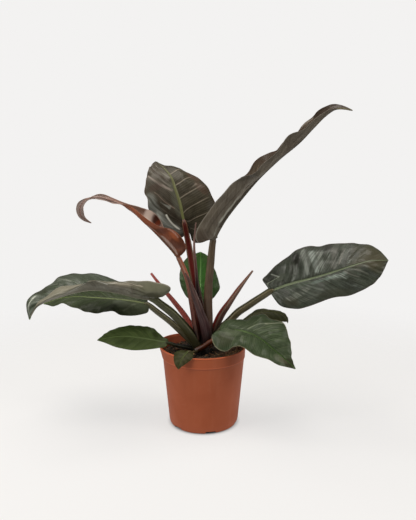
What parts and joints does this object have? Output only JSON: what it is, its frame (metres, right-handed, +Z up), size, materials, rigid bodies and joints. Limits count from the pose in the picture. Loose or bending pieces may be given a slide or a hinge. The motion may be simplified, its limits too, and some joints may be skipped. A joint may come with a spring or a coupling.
{
  "type": "potted imperial red philodendron",
  "caption": "House plant with long glossy bronze-green leaves on grooved stalks and one orange new leaf, in a round terracotta-coloured plastic nursery pot of soil.",
  "frame": {"origin": "centre of the pot's flat underside, on the surface it stands on", "axes": "+Z up; the plant's front faces -Y; +X is its right as seen from the front, along its longest spread"},
  "size_m": [0.6796, 0.2403, 0.6259],
  "materials": {
    "pot_plastic": "satin",
    "soil": "rough",
    "crown": "rough",
    "bronze_leaf": "glossy",
    "green_leaf": "glossy",
    "bright_leaf": "satin",
    "orange_leaf": "glossy",
    "olive_stalk": "satin",
    "red_stalk": "satin",
    "rust_stalk": "satin",
    "pink_stalk": "satin",
    "purple_stalk": "satin"
  },
  "bodies": {
    "root": {"nursery_pot": "pot_plastic", "potting_soil": "soil", "crown_stem": "crown", "blade_tall_right": "bronze_leaf", "stalk_tall_right": "olive_stalk", "blade_upper": "bronze_leaf", "stalk_upper": "red_stalk", "blade_newest": "orange_leaf", "stalk_newest": "rust_stalk", "blade_right": "bronze_leaf", "stalk_right": "olive_stalk", "blade_left_folded": "bronze_leaf", "stalk_left_folded": "olive_stalk", "blade_left_lower": "green_leaf", "stalk_left_lower": "olive_stalk", "blade_front_right": "green_leaf", "stalk_front_right": "rust_stalk", "blade_low_right": "green_leaf", "stalk_low_right": "rust_stalk", "blade_low_left": "green_leaf", "stalk_low_left": "olive_stalk", "blade_over_rim": "green_leaf", "stalk_over_rim": "olive_stalk", "blade_rear": "bright_leaf", "stalk_rear": "olive_stalk", "sheath_front": "purple_stalk", "sheath_left": "red_stalk", "sheath_right": "red_stalk", "new_leaf_roll": "pink_stalk"}
  },
  "joints": []
}
